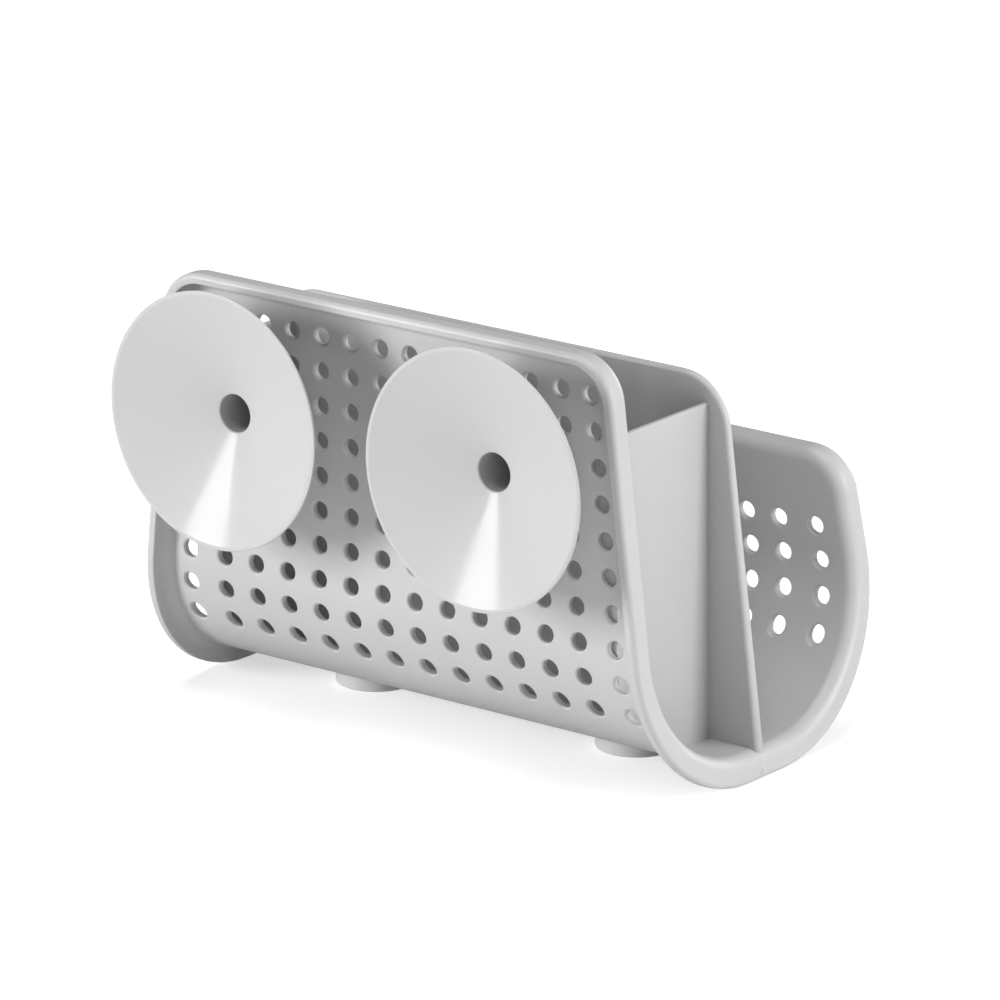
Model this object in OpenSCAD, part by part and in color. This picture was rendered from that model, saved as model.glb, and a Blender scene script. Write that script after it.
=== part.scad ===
// Kitchen sink caddy: an open-ended perforated trough with a tall back wall and a low
// front wall, a divider insert with two end walls, two suction cups and two feet.
// Millimetres. X runs along the caddy, Y points to the suction cups, Z points up.
// The origin is the middle of the whole object, on the ground it stands on.

/* [Shell] */
// Length over both ends, measured on the ground
body_l = 146.6; // [138:0.2:160]
// Depth of the trough over the outer faces of its two walls
body_d = 75.2; // [72:0.2:82]
// Height of the back wall from the ground to the top of its rim
back_h = 101.9; // [98:0.1:112]
// Height of the front wall from the ground to the top of its rim
front_h = 63.4; // [60:0.2:72]
// Wall thickness
wall_t = 1.9; // [1.5:0.1:2.4]
// Outer radius of the bend from floor to back wall
back_bend_r = 30.6; // [27:0.2:33]
// Outer radius of the bend from floor to front wall
front_bend_r = 32.2; // [29:0.2:35]
// Inward lean of the front wall above its bend, degrees
front_lean = 6.2; // [3:0.1:8]
// Inward lean of both open ends, degrees
end_lean = 6.3; // [4:0.1:8]
// Rounding of the two top corners of the back wall
back_corner_r = 11.2; // [8:0.2:16]
// Rounding of the two top corners of the front wall
front_corner_r = 10.7; // [6:0.1:14]

/* [Rim] */
// How far the rim stands out from the outer wall face, also its height off the ground
rim_h = 4.6; // [3.6:0.1:6]
// Thickness of the rim along the edge it follows
rim_t = 2.4; // [1.8:0.1:3.2]

/* [Drain holes] */
// Diameter of one drain hole
hole_d = 4.4; // [3.5:0.1:5.4]
// Height from one row of holes to the next
row_pitch = 8; // [7:0.1:8.4]
// Number of holes in one row
hole_cols = 14; // [8:2:14]
// Distance between two columns of holes, measured at the ground
col_pitch = 9.6; // [9:0.1:9.8]
// How much closer together the columns get for each millimetre of height
col_taper = 0.014; // [0.01:0.001:0.018]
// Rows in the back wall and its bend
back_rows = 10; // [6:1:10]
// Rows in the front wall and its bend
front_rows = 4; // [3:1:4]
// Top of the back wall down to the first row
back_row_drop = 9.9; // [8:0.1:12]
// Top of the front wall down to the first row
front_row_drop = 17.8; // [14:0.1:19]
// Outermost holes of the back wall to the end of the shell
back_hole_inset = 9.3; // [8.6:0.1:10.5]
// Outermost holes of the front wall to the end of the shell
front_hole_inset = 9; // [8.2:0.1:10.5]

/* [Divider insert] */
// Outer face of the back wall to the face of the divider turned to it
divider_y = 34.4; // [31:0.2:37]
// Thickness of the divider along its top edge
divider_top_t = 2.1; // [1.6:0.1:2.6]
// Thickness of the divider at the floor
divider_foot_t = 3; // [2:0.1:3.6]
// Height of the top of the divider above the ground
divider_h = 89.2; // [80:0.2:96]
// How far the divider ends short of the slanted ends of the shell
divider_end_inset = 0.7; // [0.3:0.1:3]
// Rounding of the two top corners of the divider
divider_corner_r = 12.6; // [8:0.2:16]
// Distance over the outer faces of the two end walls
end_walls_l = 118; // [100:0.2:122]
// Thickness of the end walls
end_wall_t = 1.4; // [1.2:0.1:2.4]
// Height of the top of the end walls above the ground
end_wall_h = 82.9; // [70:0.1:86]

/* [Suction cups] */
// Diameter of the lip of a cup
cup_d = 58.5; // [48:0.5:60]
// Distance between the axes of the two cups
cup_spacing = 72.8; // [66:0.2:80]
// Height of the cup axes above the ground
cup_z = 74.4; // [68:0.2:80]
// Outer face of the back wall to the flat lip of a cup
cup_reach = 19; // [16:0.1:22]
// Depth of the hollow face of a cup
cup_depth = 7.8; // [5:0.1:9]
// Width of the flat ring at the lip
cup_ring_w = 0.9; // [0.6:0.1:1.5]
// Thickness of the cup at its lip
cup_lip_t = 0.5; // [0.4:0.1:1]
// Thickness of the cup next to its stem
cup_root_t = 0.8; // [0.7:0.1:1.6]
// Diameter of the blind bore in the middle of a cup
cup_bore_d = 8.6; // [6:0.1:9]
// Diameter of the stem behind the cup
stem_d = 11.8; // [11.4:0.1:14]
// Diameter of the neck that turns in the back wall
neck_d = 9.2; // [8:0.1:10]
// Radial play of the neck in the back wall
neck_play = 0.05; // [0.02:0.01:0.1]
// Play of the cup along its own axis, on each side of the wall
neck_end_play = 0.1; // [0.05:0.05:0.3]
// Diameter of the knob that holds the cup inside the wall
knob_d = 11.6; // [11.2:0.1:13]
// Length of the knob
knob_l = 2.6; // [2:0.1:4]

/* [Feet] */
// Diameter of a foot
foot_d = 18.6; // [14:0.2:20]
// Distance between the middles of the two feet
foot_spacing = 74.4; // [60:0.2:90]
// Outer face of the back wall to the middle of the feet
foot_y = 36.6; // [34:0.1:40]
// Bevel around the bottom of a foot
foot_bevel = 0.1; // [0.1:0.1:0.8]

/* [Hidden] */
$fn = 96;
far = 200;
corner_ease = 0.02;
depth_all = body_d + rim_h + cup_reach;
back_y = depth_all / 2 - cup_reach;
floor_z = rim_h;
back_cy = back_y - back_bend_r;
back_cz = floor_z + back_bend_r;
front_cy = back_y - body_d + front_bend_r;
front_cz = floor_z + front_bend_r;
split_y = (back_cy + front_cy) / 2;
inner_z = floor_z + wall_t;
divider_back_y = back_y - divider_y;
stem_l = cup_reach - cup_depth - cup_root_t;

// Half length of the shell at a height above the ground
function end_x(z) = body_l / 2 - z * tan(end_lean);

// Filled cross section of the trough, grown outwards from its outer face
module section_fill(grow) {
    rb = back_bend_r + grow;
    rf = front_bend_r + grow;
    tz = front_cz + rf * sin(front_lean);
    ty = front_cy - rf * cos(front_lean);
    translate([back_cy, back_cz]) circle(r = rb);
    translate([front_cy, front_cz]) circle(r = rf);
    polygon([
        [back_cy, floor_z - grow],
        [back_cy + rb, back_cz],
        [back_cy + rb, far],
        [ty + (far - tz) * tan(front_lean), far],
        [ty, tz],
        [front_cy, floor_z - grow]
    ]);
}

// Stands a drawing of the cross section up and runs it along the caddy
module along_x(l) {
    rotate([90, 0, 90]) linear_extrude(height = l, center = true) children();
}

// Stands a drawing of the front view up and runs it from one depth to another
module along_y(y0, y1) {
    translate([0, y1, 0]) rotate([90, 0, 0]) linear_extrude(height = y1 - y0) children();
}

// Middle of a rounded top corner, seen from the front
function corner_x(top, r) = end_x(top - r) - r / cos(end_lean);

// Front view of the shell: slanted ends, two rounded top corners, shrunk by an inset
module back_wall_view(inset) {
    cx = corner_x(back_h, back_corner_r);
    cz = back_h - back_corner_r;
    rr = back_corner_r - inset;
    bx = end_x(-rim_h) - inset / cos(end_lean);
    for (s = [-1, 1]) translate([s * cx, cz]) circle(r = rr);
    polygon([
        [-bx, -rim_h],
        [bx, -rim_h],
        [cx + rr * cos(end_lean), cz + rr * sin(end_lean)],
        [cx, cz + rr],
        [-cx, cz + rr],
        [-cx - rr * cos(end_lean), cz + rr * sin(end_lean)]
    ]);
}

// Everything above the low front wall and its rounded corners, seen from the front.
// The corners stand out by a hair, so that they cut the slanted ends cleanly.
module above_front_wall(inset) {
    cx = corner_x(front_h, front_corner_r) + corner_ease;
    cz = front_h - front_corner_r;
    rr = front_corner_r - inset;
    z0 = cz + rr * sin(end_lean);
    difference() {
        translate([-far, z0]) square([2 * far, far]);
        for (s = [-1, 1]) translate([s * cx, cz]) circle(r = rr);
        translate([-cx, 0]) square([2 * cx, cz + rr]);
    }
}

// Shell without holes: a bent wall as thick as the rim is high, cut back to the wall
// thickness everywhere but in the rim
module shell_with_rim() {
    difference() {
        intersection() {
            along_x(far) difference() {
                section_fill(rim_h);
                section_fill(-wall_t);
            }
            along_y(-far, far) back_wall_view(0);
        }
        along_y(-far, split_y) above_front_wall(0);
        difference() {
            along_y(-far, far) back_wall_view(rim_t);
            along_x(far) section_fill(0);
            along_y(-far, split_y) above_front_wall(rim_t);
        }
    }
}

// One drain hole: a level bore through a wall, given by the middle of the wall
module drain_hole(x, y, z) {
    translate([x, y, z]) rotate([90, 0, 0])
        cylinder(h = 5 * wall_t, d = hole_d, center = true, $fn = 24);
}

// Place of a hole along the caddy; the outermost columns follow the slanted ends
function hole_x(col, z, inset) =
    let (n = col - (hole_cols - 1) / 2)
    col == 0 || col == hole_cols - 1 ? sign(n) * (end_x(z) - inset)
        : n * (col_pitch - col_taper * z);

// Depth of the middle of the back wall at a height; low down it follows the bend
function back_wall_y(z) = z > back_cz ? back_y - wall_t / 2
    : back_cy + sqrt(pow(back_bend_r - wall_t / 2, 2) - pow(back_cz - z, 2));

// Depth of the middle of the front wall at a height; it leans above its bend
function front_wall_y(z) =
    let (r = front_bend_r - wall_t / 2, z_lean = front_cz + r * sin(front_lean))
    z > z_lean ? front_cy - r * cos(front_lean) + (z - z_lean) * tan(front_lean)
        : front_cy - sqrt(r * r - pow(front_cz - z, 2));

// True where a hole would meet the stem of a cup
function by_stem(x, z) =
    norm([abs(x) - cup_spacing / 2, z - cup_z]) < (stem_d + hole_d) / 2 + 0.5;

module back_holes() {
    for (row = [0 : back_rows - 1], col = [0 : hole_cols - 1]) {
        z = back_h - back_row_drop - row * row_pitch;
        x = hole_x(col, z, back_hole_inset);
        if (!by_stem(x, z)) drain_hole(x, back_wall_y(z), z);
    }
}

module front_holes() {
    for (row = [0 : front_rows - 1], col = [0 : hole_cols - 1]) {
        z = front_h - front_row_drop - row * row_pitch;
        drain_hole(hole_x(col, z, front_hole_inset), front_wall_y(z), z);
    }
}

// Trough with its rim, the drain holes and the two holes the cups turn in
module body_shell() {
    color("LightGray") difference() {
        shell_with_rim();
        back_holes();
        front_holes();
        for (s = [-1, 1]) translate([s * cup_spacing / 2, back_y, cup_z])
            rotate([90, 0, 0])
                cylinder(h = 4 * wall_t, r = neck_d / 2 + neck_play, center = true);
    }
}

// Tall divider on the flat floor, with an end wall on each side of the rear space
module divider_insert() {
    r = divider_corner_r;
    cx = corner_x(divider_h, r) - divider_end_inset;
    cz = divider_h - r;
    foot_x = end_x(inner_z) - divider_end_inset;
    color("Silver") union() {
        intersection() {
            along_x(far) polygon([
                [divider_back_y, inner_z],
                [divider_back_y, divider_h],
                [divider_back_y - divider_top_t, divider_h],
                [divider_back_y - divider_foot_t, inner_z]
            ]);
            along_y(-far, far) union() {
                for (s = [-1, 1]) translate([s * cx, cz]) circle(r = r);
                polygon([
                    [-foot_x, inner_z],
                    [foot_x, inner_z],
                    [cx + r * cos(end_lean), cz + r * sin(end_lean)],
                    [cx, divider_h],
                    [-cx, divider_h],
                    [-cx - r * cos(end_lean), cz + r * sin(end_lean)]
                ]);
            }
        }
        for (s = [-1, 1]) translate([s * (end_walls_l - end_wall_t) / 2, 0, 0])
            along_x(end_wall_t) intersection() {
                section_fill(-wall_t);
                translate([divider_back_y - divider_top_t / 2, 0])
                    square([far, end_wall_h]);
            }
    }
}

// Suction cup on its own axis: the lip points up, the wall face is at height zero
module cup_on_axis() {
    top = cup_reach;
    rim_r = cup_d / 2;
    difference() {
        rotate_extrude() polygon([
            [0, -wall_t - neck_end_play - knob_l],
            [knob_d / 2 - 1.6, -wall_t - neck_end_play - knob_l],
            [knob_d / 2, -wall_t - neck_end_play - 1.2],
            [knob_d / 2, -wall_t - neck_end_play],
            [neck_d / 2, -wall_t - neck_end_play],
            [neck_d / 2, neck_end_play],
            [stem_d / 2, neck_end_play],
            [stem_d / 2, stem_l],
            [rim_r, top - cup_lip_t],
            [rim_r, top],
            [rim_r - cup_ring_w, top],
            [cup_bore_d / 2, top - cup_depth],
            [0, top - cup_depth]
        ]);
        cylinder(h = far, d = cup_bore_d);
    }
}

module suction_cup(side) {
    color("WhiteSmoke") translate([side * cup_spacing / 2, back_y, cup_z])
        rotate([-90, 0, 0]) cup_on_axis();
}

module left_suction_cup() {
    suction_cup(-1);
}

module right_suction_cup() {
    suction_cup(1);
}

// Round foot from the ground up to the outer face of the floor
module foot(side) {
    color("Gainsboro") difference() {
        translate([side * foot_spacing / 2, back_y - foot_y, 0]) union() {
            cylinder(h = foot_bevel, d1 = foot_d - 2 * foot_bevel, d2 = foot_d);
            translate([0, 0, foot_bevel])
                cylinder(h = 2 * rim_h - foot_bevel, d = foot_d);
        }
        along_x(far) section_fill(0);
    }
}

module left_foot() {
    foot(-1);
}

module right_foot() {
    foot(1);
}

body_shell();
divider_insert();
left_suction_cup();
right_suction_cup();
left_foot();
right_foot();
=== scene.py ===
import math

import bpy
import numpy as np
from mathutils import Matrix, Vector
from mathutils.geometry import delaunay_2d_cdt


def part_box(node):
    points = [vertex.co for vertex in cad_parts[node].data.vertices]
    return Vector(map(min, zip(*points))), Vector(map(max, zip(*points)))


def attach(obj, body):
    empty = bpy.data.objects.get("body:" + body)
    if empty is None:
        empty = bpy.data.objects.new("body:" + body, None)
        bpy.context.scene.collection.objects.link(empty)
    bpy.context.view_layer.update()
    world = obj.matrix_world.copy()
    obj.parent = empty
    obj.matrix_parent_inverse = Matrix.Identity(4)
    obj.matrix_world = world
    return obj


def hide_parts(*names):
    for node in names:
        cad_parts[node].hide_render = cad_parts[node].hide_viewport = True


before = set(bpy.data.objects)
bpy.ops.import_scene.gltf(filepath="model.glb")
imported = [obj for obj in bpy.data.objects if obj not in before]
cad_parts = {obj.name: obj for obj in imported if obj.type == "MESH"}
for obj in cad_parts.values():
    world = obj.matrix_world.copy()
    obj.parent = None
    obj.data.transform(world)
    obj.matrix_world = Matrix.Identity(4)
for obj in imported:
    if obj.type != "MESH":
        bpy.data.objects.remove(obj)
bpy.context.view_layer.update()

# All sizes are millimetres until a mesh is made.
MM = 0.001

# Shell. It follows the solid; the mouth, edge and fillet radii are in this mesh only.
RIM_H = 4.6
RIM_T = 2.4
WALL_T = 1.9
BACK_BEND_R = 30.6
FRONT_BEND_R = 32.2
FRONT_LEAN = math.radians(6.2)
END_LEAN = math.radians(6.3)
BACK_CORNER_R = 11.2
FRONT_CORNER_R = 10.7
FRONT_H = 63.4
MOUTH_R = 3.0
RIM_EDGE_R = 1.2
RIM_BACK_EDGE_R = 0.3
RIM_FILLET_R = 2.4
# Flat strip that runs on past the mouth's rounding and past the rim's fillet
EDGE_RUN_IN = 0.3
EDGE_RUN_OUT = 0.2

# Drain holes. The bore is 0.2 narrower in radius than the sharp-edged one of the solid.
HOLE_R = 2.0
HOLE_EDGE_R = 0.6
# Flat strip round a hole's rounded edge
HOLE_EDGE_RUN = 0.08
HOLE_STEPS = 24
# A hole that leaves less wall than this beside a cup's stem is left out.
STEM_CLEARANCE = 0.65
ROW_PITCH = 8.0
HOLE_COLS = 14
COL_PITCH = 9.6
COL_TAPER = 0.014
BACK_ROWS = 10
FRONT_ROWS = 4
BACK_ROW_DROP = 9.9
FRONT_ROW_DROP = 17.8
BACK_HOLE_INSET = 9.3
FRONT_HOLE_INSET = 9.0

# Points added on the wall between the holes
GRID_STEP = 4.0
GRID_OFF_RIM = 1.5
GRID_OFF_HOLE = 0.4
MERGE_WITHIN = 1e-5

# Divider insert
DIVIDER_Y = 34.4
DIVIDER_TOP_T = 2.1
DIVIDER_FOOT_T = 3.0
DIVIDER_END_INSET = 0.7
DIVIDER_CORNER_R = 12.6
DIVIDER_EDGE_R = 0.9
# Width of the strip along the divider's edge, its roundings included
DIVIDER_EDGE_RUN = 2.5
DIVIDER_SUNK = 1.6
END_WALL_T = 1.4
END_WALL_H = 82.9
END_WALL_EDGE_R = 0.4
END_WALL_ROOT_IN = 3.2
END_WALL_ROOT_OUT = 0.5
END_WALL_SUNK = 0.3
END_WALL_IN_DIVIDER = 0.3
END_WALLS_L = 118.0

# Suction cups
CUP_SPACING = 72.8
CUP_Z = 74.4
CUP_R = 29.25
CUP_REACH = 19.0
CUP_DEPTH = 7.8
CUP_RING_W = 0.9
CUP_LIP_T = 0.5
CUP_ROOT_T = 0.8
CUP_BORE_R = 4.3
CUP_BORE_FLOOR = 0.0
STEM_R = 5.9
NECK_R = 4.6
NECK_PLAY = 0.05
NECK_END_PLAY = 0.1
NECK_HOLE_EDGE_R = 0.15
NECK_HOLE_STEPS = 48
KNOB_R = 5.8
KNOB_L = 2.6
KNOB_TIP_R = 4.2
KNOB_TIP_L = 1.4
CUP_STEPS = 144

# Marks of the mould on the shell
SEAM_W = 0.25
GATE_R = 0.8
GATE_Z = 1.6
GATE_ASIDE = 1.2
SEAM_PALER = 0.07
GATE_DARKER = 0.06

# Surface of all the materials; the scales are in waves to the metre.
TONE_SCALE = 45
GLOSS_SCALE = 160
GLOSS_SWING = 0.04
NOISE_LOW = 0.3
NOISE_HIGH = 0.7
GRAIN_H = 0.02

# Feet
FOOT_R = 9.3
FOOT_SPACING = 74.4
FOOT_Y = 36.6
FOOT_IN_FLOOR = 0.9
FOOT_EDGE_R = 0.35
FOOT_TOP_R = 0.2
FOOT_STEPS = 96

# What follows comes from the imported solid's box.
shell_lo, shell_hi = (np.array(c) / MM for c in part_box("body_shell"))
BODY_L = 2 * shell_hi[0]
BACK_H = shell_hi[2]
BACK_Y = shell_hi[1] - RIM_H
FLOOR_Z = RIM_H
BODY_D = BACK_Y - shell_lo[1] - RIM_H
BACK_CY = BACK_Y - BACK_BEND_R
BACK_CZ = FLOOR_Z + BACK_BEND_R
FRONT_CY = BACK_Y - BODY_D + FRONT_BEND_R
FRONT_CZ = FLOOR_Z + FRONT_BEND_R
INNER_Z = FLOOR_Z + WALL_T
DIVIDER_BACK_Y = BACK_Y - DIVIDER_Y
DIVIDER_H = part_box("divider_insert")[1][2] / MM
SEAM_Y = DIVIDER_BACK_Y - DIVIDER_FOOT_T / 2

# Distances along the wall, from the top of the back wall round to the top of the front wall
S_BEND = BACK_H - BACK_CZ
S_FLOOR = S_BEND + BACK_BEND_R * math.pi / 2
S_FRONT_BEND = S_FLOOR + BACK_CY - FRONT_CY
S_FRONT = S_FRONT_BEND + FRONT_BEND_R * (math.pi / 2 + FRONT_LEAN)
FRONT_FOOT_Y = FRONT_CY - FRONT_BEND_R * math.cos(FRONT_LEAN)
FRONT_FOOT_Z = FRONT_CZ + FRONT_BEND_R * math.sin(FRONT_LEAN)
S_END = S_FRONT + (FRONT_H - FRONT_FOOT_Z) / math.cos(FRONT_LEAN)


def end_x(z):
    """Half length of the shell at a height above the ground."""
    return BODY_L / 2 - z * math.tan(END_LEAN)


def wall(s, h):
    """Place, outward normal and running direction of the bent wall in the YZ plane.

    s is the distance along its outer face and h the height over that face.
    """
    s, h = np.broadcast_arrays(np.asarray(s, float), np.asarray(h, float))
    y, z, ny, nz = (np.empty(s.shape) for _ in range(4))
    back = s < S_BEND
    bend = (s >= S_BEND) & (s < S_FLOOR)
    floor = (s >= S_FLOOR) & (s < S_FRONT_BEND)
    front_bend = (s >= S_FRONT_BEND) & (s < S_FRONT)
    front = s >= S_FRONT
    y[back], z[back] = BACK_Y + h[back], BACK_H - s[back]
    ny[back], nz[back] = 1, 0
    a = (s[bend] - S_BEND) / BACK_BEND_R
    ny[bend], nz[bend] = np.cos(a), -np.sin(a)
    y[bend] = BACK_CY + (BACK_BEND_R + h[bend]) * np.cos(a)
    z[bend] = BACK_CZ - (BACK_BEND_R + h[bend]) * np.sin(a)
    y[floor], z[floor] = BACK_CY - (s[floor] - S_FLOOR), FLOOR_Z - h[floor]
    ny[floor], nz[floor] = 0, -1
    a = (s[front_bend] - S_FRONT_BEND) / FRONT_BEND_R
    ny[front_bend], nz[front_bend] = -np.sin(a), -np.cos(a)
    y[front_bend] = FRONT_CY - (FRONT_BEND_R + h[front_bend]) * np.sin(a)
    z[front_bend] = FRONT_CZ - (FRONT_BEND_R + h[front_bend]) * np.cos(a)
    up, lean = math.cos(FRONT_LEAN), math.sin(FRONT_LEAN)
    run = s[front] - S_FRONT
    y[front] = FRONT_FOOT_Y + run * lean - h[front] * up
    # The rim's top stays level although the wall leans.
    level = 1 - run / (S_END - S_FRONT)
    z[front] = FRONT_FOOT_Z + run * up + h[front] * lean * level
    ny[front], nz[front] = -up, lean
    return y, z, ny, nz, nz, -ny


def unit(v):
    return v / np.linalg.norm(v, axis=-1, keepdims=True)


def rounded(points, radii, side, step=15):
    """Path through points with rounded corners, as rows of u, v and the outward normal.

    side is 1 where the outside is on the left of the path, and -1 on the right.
    """
    points = np.array(points, float)
    runs = unit(points[1:] - points[:-1])
    normals = side * np.stack([-runs[:, 1], runs[:, 0]], axis=1)
    rows = [[*points[0], *normals[0]]]
    for k in range(1, len(points) - 1):
        a, b, n = runs[k - 1], runs[k], normals[k - 1]
        turn = math.atan2(a[0] * b[1] - a[1] * b[0], a @ b)
        sign = 1 if turn * side < 0 else -1
        start = points[k] - a * radii[k - 1] * math.tan(abs(turn) / 2)
        centre = start - sign * radii[k - 1] * n
        steps = max(2, math.ceil(math.degrees(abs(turn)) / step))
        for j in range(steps + 1):
            c, s = math.cos(turn * j / steps), math.sin(turn * j / steps)
            m = np.array([c * n[0] - s * n[1], s * n[0] + c * n[1]])
            rows.append([*(centre + sign * radii[k - 1] * m), *m])
    rows.append([*points[-1], *normals[-1]])
    return np.array(rows)


class Skin:
    """Vertices, their normals and faces of one closed surface."""

    def __init__(self):
        self.points, self.normals, self.faces = [], [], []

    def add(self, points, normals):
        """Adds rows of points and returns their numbers in the same layout."""
        shape = np.shape(points)[:-1]
        first = len(self.points)
        self.points.extend(np.reshape(points, (-1, 3)))
        self.normals.extend(np.reshape(unit(np.asarray(normals, float)), (-1, 3)))
        return (first + np.arange(int(np.prod(shape)))).reshape(shape)

    def face(self, numbers, toward=None):
        """Adds a face turned to its vertex normals, or to the direction given."""
        p = np.array([self.points[i] for i in numbers])
        q = np.roll(p, -1, axis=0)
        normal = np.cross(p - p.mean(0), q - p.mean(0)).sum(0)
        if toward is None:
            toward = sum(self.normals[i] for i in numbers)
        self.faces.append(list(numbers) if normal @ toward > 0 else list(numbers)[::-1])

    def strip(self, grid, close_rows=False, close_columns=False):
        """Quads between neighbouring rows and columns of a grid of vertex numbers."""
        rows, columns = grid.shape
        for i in range(rows if close_rows else rows - 1):
            for j in range(columns if close_columns else columns - 1):
                i1, j1 = (i + 1) % rows, (j + 1) % columns
                quad = [grid[i, j], grid[i, j1], grid[i1, j1], grid[i1, j]]
                quad = list(dict.fromkeys(int(n) for n in quad))
                if len(quad) > 2:
                    self.face(quad)

    def to_object(self, name):
        mesh = bpy.data.meshes.new(name)
        mesh.from_pydata([tuple(p * MM) for p in self.points], [], self.faces)
        mesh.polygons.foreach_set("use_smooth", [True] * len(mesh.polygons))
        mesh.normals_split_custom_set_from_vertices([tuple(n) for n in self.normals])
        mesh.update()
        obj = bpy.data.objects.new(name, mesh)
        bpy.context.scene.collection.objects.link(obj)
        return obj


def outline():
    """Right half of the shell's edge on the unrolled wall, from the middle of the back
    wall's top to the middle of the front wall's top: x, s and the inward direction."""
    rows = []
    slant = math.cos(END_LEAN)
    cx = end_x(BACK_H - BACK_CORNER_R) - BACK_CORNER_R / slant
    rows += [[x, 0, 0, 1] for x in np.linspace(0, cx, 13)[:-1]]
    for a in np.linspace(math.pi / 2, END_LEAN, 15):
        x, s = cx + BACK_CORNER_R * math.cos(a), BACK_CORNER_R * (1 - math.sin(a))
        rows.append([x, s, -math.cos(a), math.sin(a)])
    first = rows[-1][1]
    cx = end_x(FRONT_H - FRONT_CORNER_R) - FRONT_CORNER_R / slant
    last = S_END - FRONT_CORNER_R * (1 - math.sin(END_LEAN))
    stops = [first, S_BEND, S_FLOOR, S_FRONT_BEND, S_FRONT, last]
    parts = [14, 24, 4, 28, 5]
    for a, b, n in zip(stops, stops[1:], parts):
        for s in np.linspace(a, b, n + 1)[1:]:
            z = float(wall(s, 0)[1])
            rows.append([end_x(z), s, -1 / slant, 0])
    rows.pop()
    for a in np.linspace(END_LEAN, math.pi / 2, 15):
        x = cx + FRONT_CORNER_R * math.cos(a)
        s = S_END - FRONT_CORNER_R * (1 - math.sin(a))
        rows.append([x, s, -math.cos(a), -math.sin(a)])
    rows += [[x, S_END, 0, -1] for x in np.linspace(cx, 0, 13)[1:]]
    return np.array(rows)


def end_share(s, h):
    """How x grows from the outer face to a height over it, which keeps the ends' slant."""
    z0 = wall(s, 0)[1]
    return 1 - math.tan(END_LEAN) * (wall(s, h)[1] - z0) / end_x(z0)


def on_wall(x, s, h):
    """Places on the bent wall, from unrolled x and s and the height over the outer face."""
    y, z, ny, nz, ty, tz = wall(s, h)
    x = np.broadcast_to(x, y.shape) * end_share(s, h)
    zero = np.zeros(y.shape)
    return (
        np.stack([x, y, z], axis=-1),
        np.stack([zero, ny, nz], axis=-1),
        np.stack([zero, ty, tz], axis=-1),
    )


def run_at(z, h, in_front):
    """Distance along the wall at which the face at height h over it reaches a level z."""
    if in_front:
        lean = math.sin(FRONT_LEAN)
        rise = math.cos(FRONT_LEAN) - h * lean / (S_END - S_FRONT)
        run = (z - FRONT_FOOT_Z - h * lean) / rise
        turn = np.arccos(np.clip((FRONT_CZ - z) / (FRONT_BEND_R + h), -1, 1))
        return np.where(run > 0, S_FRONT + run, S_FRONT_BEND + FRONT_BEND_R * turn)
    turn = np.arcsin(np.clip((BACK_CZ - z) / (BACK_BEND_R + h), -1, 1))
    return np.where(z > BACK_CZ, BACK_H - z, S_BEND + BACK_BEND_R * turn)


def hole_places():
    """Holes bored level through the walls: x, z, on which wall, radius, edge and steps."""
    places = []
    last = (HOLE_COLS - 1) / 2
    rows = [(BACK_H - BACK_ROW_DROP - k * ROW_PITCH, False) for k in range(BACK_ROWS)]
    rows += [(FRONT_H - FRONT_ROW_DROP - k * ROW_PITCH, True) for k in range(FRONT_ROWS)]
    for z, in_front in rows:
        inset = FRONT_HOLE_INSET if in_front else BACK_HOLE_INSET
        xs = (np.arange(HOLE_COLS) - last) * (COL_PITCH - COL_TAPER * z)
        xs[[0, -1]] = np.array([-1, 1]) * (end_x(z) - inset)
        for x in xs:
            gap = math.hypot(abs(x) - CUP_SPACING / 2, z - CUP_Z)
            if in_front or gap > STEM_R + HOLE_R + STEM_CLEARANCE:
                places.append((x, z, in_front, HOLE_R, HOLE_EDGE_R, HOLE_STEPS))
    neck = (CUP_Z, False, NECK_R + NECK_PLAY, NECK_HOLE_EDGE_R, NECK_HOLE_STEPS)
    return places + [(side * CUP_SPACING / 2, *neck) for side in (-1, 1)]


def rim_strip(skin):
    """Adds the rim, from the wall's inner face round its edge to the outer face.

    Gives the unrolled places and the numbers of its vertices, by rows along the edge.
    """
    half = outline()
    left = half[-2:0:-1] * [-1, 1, -1, 1]
    edge = np.vstack([half, left])
    reach_in = MOUTH_R + EDGE_RUN_IN
    reach_out = RIM_T + RIM_FILLET_R + EDGE_RUN_OUT
    profile = rounded(
        [(reach_in, -WALL_T), (0, -WALL_T), (0, RIM_H), (RIM_T, RIM_H), (RIM_T, 0), (reach_out, 0)],
        [MOUTH_R, RIM_EDGE_R, RIM_BACK_EDGE_R, RIM_FILLET_R],
        side=1,
    )
    d, h, nd, nh = (profile[:, k][None, :] for k in range(4))
    flat = edge[:, None, :2] + edge[:, None, 2:] * d[..., None]
    points, out, along = on_wall(flat[..., 0], flat[..., 1], h)
    inward = edge[:, None, 2:3] * np.array([1.0, 0, 0]) + edge[:, None, 3:4] * along
    sloped = edge[:, 3] == 0
    side = np.sign(edge[:, 0])[:, None]
    inward[sloped] = np.stack(
        [side * -math.cos(END_LEAN), 0 * side, 0 * side - math.sin(END_LEAN)], axis=-1
    )[sloped]
    numbers = skin.add(points, unit(inward) * nd[..., None] + out * nh[..., None])
    skin.strip(numbers, close_rows=True)
    return flat, numbers


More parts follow.
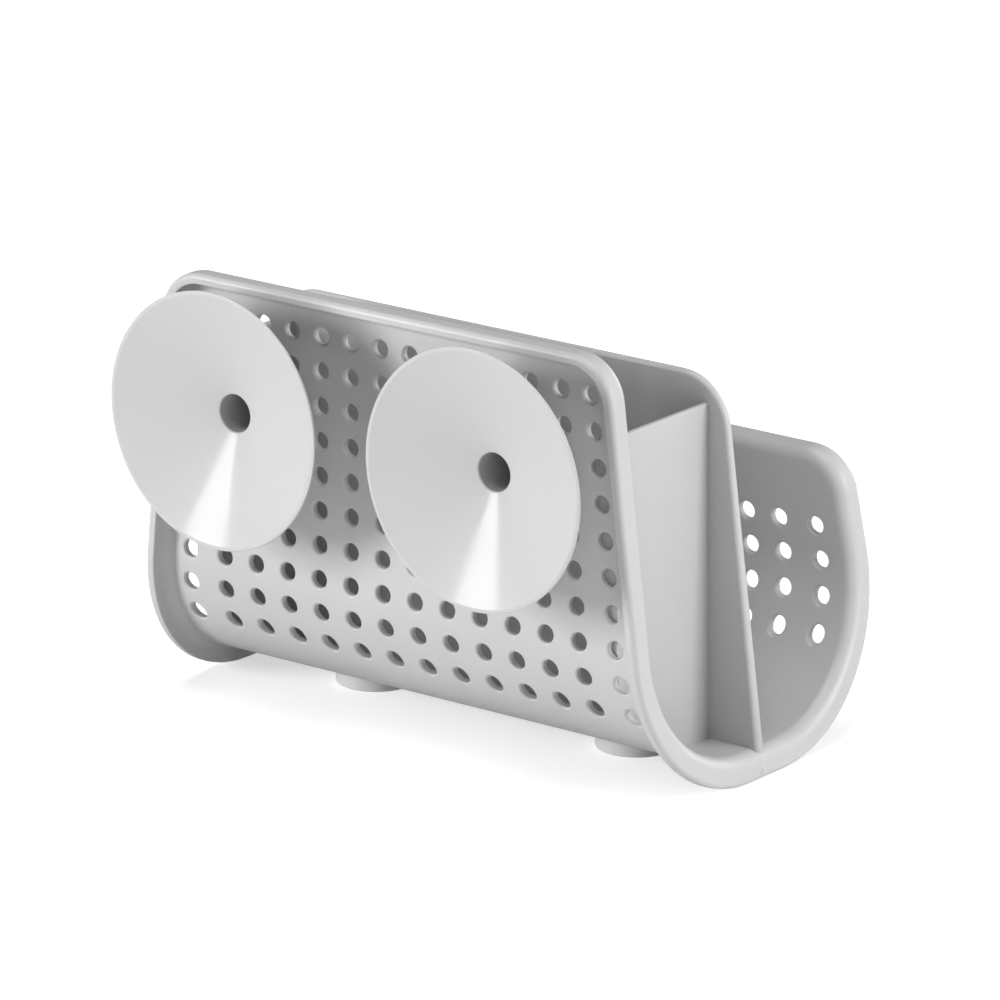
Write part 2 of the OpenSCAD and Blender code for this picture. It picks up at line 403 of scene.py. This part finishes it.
def hole_rings(skin):
    """Adds the bores of the holes, each as rings from the outer face to the inner face.

    Gives the unrolled places and the numbers of each bore's vertices.
    """
    rings = []
    for x, z, in_front, r, r_edge, steps in hole_places():
        start = r + r_edge + HOLE_EDGE_RUN
        path = rounded(
            [(start, 0), (r, 0), (r, -WALL_T), (start, -WALL_T)], [r_edge, r_edge], side=-1, step=30
        )
        d, h, nd, nh = (path[None, :, k] for k in range(4))
        a = np.linspace(0, 2 * math.pi, steps, endpoint=False)[:, None]
        h = h + 0 * a
        ss = run_at(z + d * np.sin(a), h, in_front)
        xs = (x + d * np.cos(a)) / end_share(ss, h)
        points, out, _ = on_wall(xs, ss, h)
        radial = np.stack([np.cos(a), 0 * a, np.sin(a)], axis=-1)
        numbers = skin.add(points, radial * nd[..., None] + out * nh[..., None])
        skin.strip(numbers, close_rows=True)
        rings.append((np.stack([xs, ss], axis=-1), numbers))
    return rings


def wall_grid(holes):
    """Points between the holes that keep the bends smooth."""
    stops = [0, S_BEND, S_FLOOR, S_FRONT_BEND, S_FRONT, S_END]
    steps = [12, 22, 3, 26, 6]
    spans = zip(stops, stops[1:], steps)
    levels = np.concatenate([np.linspace(a, b, n + 1)[1:] for a, b, n in spans])
    middles = np.array([[x.mean(), s.mean()] for x, s in holes])
    reaches = np.array([np.hypot(x - x.mean(), s - s.mean()).max() for x, s in holes])
    near_edge = RIM_T + RIM_FILLET_R + GRID_OFF_RIM
    points = []
    for k, s in enumerate(levels):
        limit = end_x(float(wall(s, 0)[1])) - near_edge
        if s < near_edge or s > S_END - near_edge:
            continue
        for x in np.arange(-limit + (k % 2) * GRID_STEP / 2, limit, GRID_STEP):
            if (np.hypot(*(middles - [x, s]).T) > reaches + GRID_OFF_HOLE).all():
                points.append((float(x), float(s)))
    return points


def wall_face(skin, loops, height, facing):
    """Adds one face of the wall, inside the first loop and outside the others.

    A loop is the unrolled places and the numbers of vertices that are there already.
    """
    flat_points, known, edges, hole_of = [], [], [], {}
    for n, (places, numbers) in enumerate(loops):
        loop = list(range(len(known), len(known) + len(numbers)))
        flat_points += [tuple(p) for p in places]
        known += [int(k) for k in numbers]
        edges += zip(loop, loop[1:] + loop[:1])
        if n > 0:
            hole_of.update(dict.fromkeys(loop, n))
    flat_points += wall_grid([places.T for places, _ in loops[1:]])
    verts, _, tris, origins, _, _ = delaunay_2d_cdt(
        [Vector(p) for p in flat_points], edges, [], 1, MERGE_WITHIN
    )
    fresh = [k for k, origin in enumerate(origins) if not origin or origin[0] >= len(known)]
    xs, ss = (np.array([verts[k][axis] for k in fresh]) for axis in (0, 1))
    points, out, _ = on_wall(xs, ss, np.full(len(fresh), float(height)))
    added = dict(zip(fresh, skin.add(points, out * facing).tolist()))
    for tri in tris:
        holes = {None if k in added else hole_of.get(origins[k][0]) for k in tri}
        if len(holes) == 1 and None not in holes:
            continue
        skin.face([added[k] if k in added else known[origins[k][0]] for k in tri])


def shell_skin():
    """The perforated shell: its rim, the bores of its holes, and the wall between them."""
    skin = Skin()
    rim_places, rim = rim_strip(skin)
    bores = hole_rings(skin)
    for column, ring, height, facing in ((0, -1, -WALL_T, -1), (-1, 0, 0, 1)):
        loops = [(rim_places[:, column], rim[:, column])]
        loops += [(places[:, ring], bore[:, ring]) for places, bore in bores]
        wall_face(skin, loops, height, facing)
    return skin


def divider_plate(skin):
    """The tall divider: a tapered plate with rounded edges, its foot sunk into the floor."""
    foot_z = INNER_Z - DIVIDER_SUNK
    foot_x = end_x(foot_z) - DIVIDER_END_INSET
    r = DIVIDER_CORNER_R
    cz = DIVIDER_H - r
    cx = end_x(cz) - r / math.cos(END_LEAN) - DIVIDER_END_INSET
    rows = [[foot_x, foot_z, -1, 0]]
    rows += [
        [cx + r * math.cos(a), cz + r * math.sin(a), -math.cos(a), -math.sin(a)]
        for a in np.linspace(END_LEAN, math.pi / 2, 14)
    ]
    half = np.array(rows)
    edge = np.vstack([half, half[::-1] * [-1, 1, -1, 1]])
    t, run = DIVIDER_TOP_T, DIVIDER_EDGE_RUN
    path = rounded(
        [(run, -t / 2), (0, -t / 2), (0, t / 2), (run, t / 2)], [DIVIDER_EDGE_R] * 2, side=1
    )
    share = (DIVIDER_H - edge[:, 1]) / (DIVIDER_H - INNER_Z)
    thick = (DIVIDER_TOP_T + (DIVIDER_FOOT_T - DIVIDER_TOP_T) * share)[:, None]
    d, h, nd, nh = (path[:, k][None, :] for k in range(4))
    x = edge[:, None, 0] + edge[:, None, 2] * d
    z = edge[:, None, 1] + edge[:, None, 3] * d
    y = DIVIDER_BACK_Y - thick * (0.5 - h / t)
    points = np.stack([x, y, z], axis=-1)
    normals = np.stack([edge[:, None, 2] * nd, nh + 0 * x, edge[:, None, 3] * nd], axis=-1)
    grid = skin.add(points, normals)
    skin.strip(grid)
    skin.face(list(grid[:, 0]), (0, -1, 0))
    skin.face(list(grid[:, -1]), (0, 1, 0))
    skin.face(list(grid[0]) + list(grid[-1][::-1]), (0, 0, -1))


def end_wall(skin, side):
    """Thin wall that closes the rear space at one end; its foot is let into the bend and its
    edge into the back wall, where it widens with a fillet on each side."""
    y1 = BACK_Y - WALL_T
    bend_r = BACK_BEND_R - WALL_T
    root = y1 - END_WALL_ROOT_IN * (1 - np.sin(np.radians(np.arange(0, 91, 10))))
    on_bend = BACK_CY + bend_r * np.sin(np.radians(np.arange(4, 89, 4)))
    start = [DIVIDER_BACK_Y - END_WALL_IN_DIVIDER, BACK_CY]
    ys = np.concatenate([start, on_bend[on_bend < root[0] - 0.1], root])

    def let_in(ys):
        """Foot of the wall at each depth, and the outward direction there."""
        r = bend_r + END_WALL_SUNK
        along = np.clip(ys - BACK_CY, 0, r)
        down = np.sqrt(r**2 - along**2)
        return BACK_CZ - down, np.stack([0 * along, along / r, -down / r], axis=-1)

    def fillet(radius):
        """How far the wall has widened at each depth, and the slope of that curve."""
        # Held short of 1, where the slope has no limit
        left = np.clip((radius - (y1 - ys)) / radius, 0, 0.996)
        return radius * (1 - np.sqrt(1 - left**2)), left / np.sqrt(1 - left**2)

    x0 = END_WALLS_L / 2
    path = rounded(
        [(x0, 0), (x0, END_WALL_H), (x0 - END_WALL_T, END_WALL_H), (x0 - END_WALL_T, 0)],
        [END_WALL_EDGE_R] * 2,
        side=-1,
    )
    outer = path[None, :, 0] > x0 - END_WALL_T / 2
    wide_out, slope_out = (v[:, None] for v in fillet(END_WALL_ROOT_OUT))
    wide_in, slope_in = (v[:, None] for v in fillet(END_WALL_ROOT_IN))

    def rings(ys, x, lean):
        """One ring of the wall's section at each depth, closed below by the foot."""
        foot, outward = let_in(ys)
        z = np.maximum(np.broadcast_to(path[None, :, 1], x.shape), foot[:, None])
        points = np.stack([side * x, np.broadcast_to(ys[:, None], x.shape), z], axis=-1)
        across, up = (path[None, :, k] + 0 * x for k in (2, 3))
        normals = np.stack([side * across, -np.abs(across) * lean, up], axis=-1)
        skin.strip(skin.add(points, normals))
        skin.strip(skin.add(points[:, [0, -1]], np.stack([outward] * 2, axis=1)))
        return points

    x = path[None, :, 0] + np.where(outer, wide_out, -wide_in)
    front = rings(ys, x, np.where(outer, slope_out, slope_in))[0]
    in_wall = y1 + END_WALL_SUNK * np.array([0, 0.4, 0.75, 1])
    back = rings(in_wall, np.broadcast_to(x[-1], (4, x.shape[1])), 0)[-1]
    for ring, toward in ((front, (0, -1, 0)), (back, (0, 1, 0))):
        skin.face(list(skin.add(ring, np.broadcast_to(toward, ring.shape))), toward)


def lathe(path, steps):
    """Surface of revolution about +Z through the origin, as a Skin."""
    skin = Skin()
    a = np.linspace(0, 2 * math.pi, steps, endpoint=False)[:, None]
    r, z, nr, nz = (path[None, :, k] for k in range(4))
    points = np.stack([r * np.cos(a), r * np.sin(a), z + 0 * a], axis=-1)
    normals = np.stack([nr * np.cos(a), nr * np.sin(a), nz + 0 * a], axis=-1)
    inner = skin.add(points[:, 1:-1], normals[:, 1:-1])
    poles = skin.add(points[0, [0, -1]], normals[0, [0, -1]])
    ends = [np.full((steps, 1), poles[k]) for k in (0, 1)]
    skin.strip(np.hstack([ends[0], inner, ends[1]]), close_rows=True)
    return skin


def cup_skin():
    """Knob, neck, stem and cone of a cup, pointing up, from the knob's end to the bore."""
    knob_end = -(WALL_T + NECK_END_PLAY + KNOB_L)
    knob_face = -(WALL_T + NECK_END_PLAY)
    stem_top = CUP_REACH - CUP_DEPTH - CUP_ROOT_T
    points = [
        (0, knob_end),
        (KNOB_TIP_R, knob_end),
        (KNOB_R, knob_end + KNOB_TIP_L),
        (KNOB_R, knob_face),
        (NECK_R, knob_face),
        (NECK_R, NECK_END_PLAY),
        (STEM_R, NECK_END_PLAY),
        (STEM_R, stem_top),
        (CUP_R, CUP_REACH - CUP_LIP_T),
        (CUP_R, CUP_REACH),
        (CUP_R - CUP_RING_W, CUP_REACH),
        (CUP_BORE_R, CUP_REACH - CUP_DEPTH),
        (CUP_BORE_R, CUP_BORE_FLOOR),
        (0, CUP_BORE_FLOOR),
    ]
    corner_radii = [0.8, 0.6, 0.25, 0.1, 0.1, 0.3, 1.2, 0.2, 0.25, 0.4, 0.5, 1.0]
    return lathe(rounded(points, corner_radii, side=-1, step=12), CUP_STEPS)


def foot_skin():
    """A foot, from the ground up into the floor it is fixed under."""
    top = FLOOR_Z + FOOT_IN_FLOOR
    points = [(0, 0), (FOOT_R, 0), (FOOT_R, top), (0, top)]
    return lathe(rounded(points, [FOOT_EDGE_R, FOOT_TOP_R], side=-1), FOOT_STEPS)


def moulded(name, colour, roughness, grain, mottle, **sockets):
    """Moulded plastic: fine grain in the surface, slight unevenness in tone and gloss."""
    material = bpy.data.materials.new(name)
    material.use_nodes = True
    nodes, links = material.node_tree.nodes, material.node_tree.links
    shader = nodes["Principled BSDF"]
    for socket, value in sockets.items():
        shader.inputs[socket.replace("_", " ")].default_value = value
    place = nodes.new("ShaderNodeTexCoord")

    def noise(scale, detail):
        node = nodes.new("ShaderNodeTexNoise")
        node.inputs["Scale"].default_value = scale
        node.inputs["Detail"].default_value = detail
        links.new(place.outputs["Object"], node.inputs["Vector"])
        return node.outputs["Fac"]

    def ranged(value, low, high):
        node = nodes.new("ShaderNodeMapRange")
        node.inputs["From Min"].default_value = NOISE_LOW
        node.inputs["From Max"].default_value = NOISE_HIGH
        node.inputs["To Min"].default_value = low
        node.inputs["To Max"].default_value = high
        links.new(value, node.inputs["Value"])
        return node.outputs["Result"]

    tint = nodes.new("ShaderNodeMix")
    tint.data_type = "RGBA"
    tint.inputs["A"].default_value = (*(c * (1 - mottle) for c in colour), 1)
    tint.inputs["B"].default_value = (*(c * (1 + mottle) for c in colour), 1)
    links.new(ranged(noise(TONE_SCALE, 3), 0, 1), tint.inputs["Factor"])
    links.new(tint.outputs["Result"], shader.inputs["Base Color"])
    gloss = ranged(noise(GLOSS_SCALE, 4), roughness - GLOSS_SWING, roughness + GLOSS_SWING)
    links.new(gloss, shader.inputs["Roughness"])
    bump = nodes.new("ShaderNodeBump")
    bump.inputs["Strength"].default_value = 1.0
    bump.inputs["Distance"].default_value = GRAIN_H * MM
    links.new(noise(grain, 2), bump.inputs["Height"])
    links.new(bump.outputs["Normal"], shader.inputs["Normal"])
    return material


def paint_hollow_shade(material, share, reach):
    """Painted shade: the colour darkens in hollows no wider than the reach, such as a bore or a
    deep space.
    """
    nodes, links = material.node_tree.nodes, material.node_tree.links
    socket = nodes["Principled BSDF"].inputs["Base Color"]
    colour = socket.links[0].from_socket
    closed_in = nodes.new("ShaderNodeAmbientOcclusion")
    closed_in.inputs["Distance"].default_value = reach * MM
    links.new(colour, closed_in.inputs["Color"])
    shade = nodes.new("ShaderNodeMix")
    shade.data_type = "RGBA"
    shade.inputs["Factor"].default_value = share
    links.new(colour, shade.inputs["A"])
    links.new(closed_in.outputs["Color"], shade.inputs["B"])
    links.new(shade.outputs["Result"], socket)


def mould_marks(material):
    """Faint pale line that a joint of the mould leaves on the shell in the divider's plane,
    and the small round mark of the gate beside it on one lip."""
    nodes, links = material.node_tree.nodes, material.node_tree.links
    place = nodes["Texture Coordinate"].outputs["Object"]
    parts = nodes.new("ShaderNodeSeparateXYZ")
    links.new(place, parts.inputs["Vector"])

    def near(value, at, reach):
        node = nodes.new("ShaderNodeMath")
        node.operation = "COMPARE"
        node.inputs[1].default_value = at * MM
        node.inputs[2].default_value = reach * MM
        links.new(value, node.inputs[0])
        return node.outputs["Value"]

    def brighter(colour, mask, amount):
        share = nodes.new("ShaderNodeMath")
        share.operation = "MULTIPLY"
        share.inputs[1].default_value = amount
        links.new(mask, share.inputs[0])
        node = nodes.new("ShaderNodeBrightContrast")
        links.new(colour, node.inputs["Color"])
        links.new(share.outputs["Value"], node.inputs["Bright"])
        return node.outputs["Color"]

    away = nodes.new("ShaderNodeVectorMath")
    away.operation = "DISTANCE"
    away.inputs[1].default_value = Vector((-end_x(GATE_Z), SEAM_Y + GATE_ASIDE, GATE_Z)) * MM
    links.new(place, away.inputs[0])
    socket = nodes["Principled BSDF"].inputs["Base Color"]
    colour = socket.links[0].from_socket
    colour = brighter(colour, near(parts.outputs["Y"], SEAM_Y, SEAM_W / 2), SEAM_PALER)
    colour = brighter(colour, near(away.outputs["Value"], 0, GATE_R), -GATE_DARKER)
    links.new(colour, socket)


GREY = (0.51, 0.51, 0.515)
PALE = (0.53, 0.53, 0.53)
RUBBER_GREY = (0.6, 0.6, 0.6)

SHELL = moulded("shell_grey_plastic", GREY, roughness=0.42, grain=2200, mottle=0.015)
mould_marks(SHELL)
INSERT = moulded("divider_grey_plastic", GREY, roughness=0.42, grain=2200, mottle=0.015)
# Painted shade: the divider and end walls darken deep in the rear space.
paint_hollow_shade(INSERT, share=0.35, reach=36)
CUP = moulded(
    "soft_cup_vinyl", PALE, roughness=0.14, grain=300, mottle=0.01, Specular_IOR_Level=0.13
)
# Painted shade: darker inside the cups' bores.
paint_hollow_shade(CUP, share=0.4, reach=12)
FOOT = moulded("foot_rubber", RUBBER_GREY, roughness=0.6, grain=1500, mottle=0.03)


def dress(obj, material, body, slot, *nodes):
    """Gives a piece its material and its body, and hides the solids it stands for; slot is not
    used.
    """
    obj.data.materials.append(material)
    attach(obj, body)
    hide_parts(*nodes)


shell = shell_skin().to_object("perforated_shell")
dress(shell, SHELL, "caddy", "grey_plastic", "body_shell")

insert_skin = Skin()
divider_plate(insert_skin)
for side in (-1, 1):
    end_wall(insert_skin, side)
insert = insert_skin.to_object("divider_with_end_walls")
dress(insert, INSERT, "caddy", "grey_plastic", "divider_insert")

for side, name in ((-1, "left"), (1, "right")):
    cup = cup_skin().to_object(f"{name}_cup_soft")
    turn = Matrix.Rotation(-math.pi / 2, 4, "X")
    move = Matrix.Translation(Vector((side * CUP_SPACING / 2, BACK_Y, CUP_Z)) * MM)
    cup.data.transform(move @ turn)
    dress(cup, CUP, f"{name}_cup", "cup_vinyl", f"{name}_suction_cup")
    foot = foot_skin().to_object(f"{name}_foot_disc")
    place = Vector((side * FOOT_SPACING / 2, BACK_Y - FOOT_Y, 0)) * MM
    foot.data.transform(Matrix.Translation(place))
    dress(foot, FOOT, "caddy", "foot_rubber", f"{name}_foot")

# Camera and studio, in metres, watts and degrees. The camera is solved from the photograph.
CAMERA_AZIMUTH = 219.02
CAMERA_ELEVATION = 17.416
CAMERA_ROLL = -0.69
CAMERA_DISTANCE = 1.75622
CAMERA_LENS = 288.14
CAMERA_AIM = Vector((-0.00833, 0.0051, 0.05379))

# Soft lamps: azimuth, elevation, distance, width, height and power
LAMPS = {
    "left_softbox": (144, 10, 1.4, 0.33, 0.7, 17.5),
    "right_softbox": (288, 15, 1.4, 0.7, 0.7, 14.0),
    "top_softbox": (180, 80, 1.4, 1.0, 1.0, 12.5),
    "camera_fill": (225, 14, 1.4, 0.9, 0.9, 4.0),
    "front_fill": (350, 12, 1.4, 0.8, 0.8, 7.0),
}
LAMP_AIM = Vector((0, 0, 0.05))
WORLD_LIGHT = 0.03
FLOOR_SIZE = 4.0
FLOOR_TONE = 0.8
FLOOR_LIFT = 0.53


def direction_to(azimuth, elevation):
    """Unit direction from the object; azimuth 0 is in front of the low wall."""
    azimuth, elevation = math.radians(azimuth), math.radians(elevation)
    flat = math.cos(elevation)
    return Vector((math.sin(azimuth) * flat, -math.cos(azimuth) * flat, math.sin(elevation)))


def stand(name, data, aim, direction, distance, roll=0.0):
    """Puts a camera or lamp at a distance in a direction from the aim, looking at it."""
    obj = bpy.data.objects.new(name, data)
    bpy.context.scene.collection.objects.link(obj)
    look = (-direction).to_track_quat("-Z", "Y").to_matrix().to_4x4()
    spin = Matrix.Rotation(math.radians(roll), 4, "Z")
    obj.matrix_world = Matrix.Translation(aim + direction * distance) @ look @ spin
    return obj


def add_camera():
    data = bpy.data.cameras.new("camera")
    data.sensor_width = 36
    data.lens = CAMERA_LENS
    data.clip_end = 20
    direction = direction_to(CAMERA_AZIMUTH, CAMERA_ELEVATION)
    return stand("camera", data, CAMERA_AIM, direction, CAMERA_DISTANCE, CAMERA_ROLL)


def add_lamps():
    for name, (azimuth, elevation, distance, width, height, watts) in LAMPS.items():
        data = bpy.data.lights.new(name, "AREA")
        data.shape = "RECTANGLE"
        data.size, data.size_y = width, height
        data.energy = watts
        stand(name, data, LAMP_AIM, direction_to(azimuth, elevation), distance)


def white_surroundings():
    """World that the camera sees white, and that lights the object only a little."""
    world = bpy.data.worlds.new("studio")
    world.use_nodes = True
    nodes, links = world.node_tree.nodes, world.node_tree.links
    background = nodes["Background"]
    background.inputs["Color"].default_value = (1, 1, 1, 1)
    rays = nodes.new("ShaderNodeLightPath")
    level = nodes.new("ShaderNodeMapRange")
    level.inputs["To Min"].default_value = WORLD_LIGHT
    level.inputs["To Max"].default_value = 1.0
    links.new(rays.outputs["Is Camera Ray"], level.inputs["Value"])
    links.new(level.outputs["Result"], background.inputs["Strength"])
    return world


def white_paper():
    """Its own light to the camera fades it into the white, its diffuse part keeps the shadow."""
    material = bpy.data.materials.new("white_floor")
    material.use_nodes = True
    nodes, links = material.node_tree.nodes, material.node_tree.links
    shader = nodes["Principled BSDF"]
    shader.inputs["Base Color"].default_value = (FLOOR_TONE, FLOOR_TONE, FLOOR_TONE, 1)
    shader.inputs["Roughness"].default_value = 0.9
    shader.inputs["Specular IOR Level"].default_value = 0
    shader.inputs["Emission Color"].default_value = (1, 1, 1, 1)
    rays = nodes.new("ShaderNodeLightPath")
    glow = nodes.new("ShaderNodeMath")
    glow.operation = "MULTIPLY"
    glow.inputs[1].default_value = FLOOR_LIFT
    links.new(rays.outputs["Is Camera Ray"], glow.inputs[0])
    links.new(glow.outputs["Value"], shader.inputs["Emission Strength"])
    return material


def add_floor():
    c = FLOOR_SIZE / 2
    mesh = bpy.data.meshes.new("floor")
    mesh.from_pydata([(-c, -c, 0), (c, -c, 0), (c, c, 0), (-c, c, 0)], [], [(0, 1, 2, 3)])
    mesh.materials.append(white_paper())
    floor = bpy.data.objects.new("floor", mesh)
    bpy.context.scene.collection.objects.link(floor)
    return floor


bpy.context.scene.camera = add_camera()
add_lamps()
bpy.context.scene.world = white_surroundings()
floor = add_floor()
bpy.context.scene.view_settings.view_transform = "Standard"
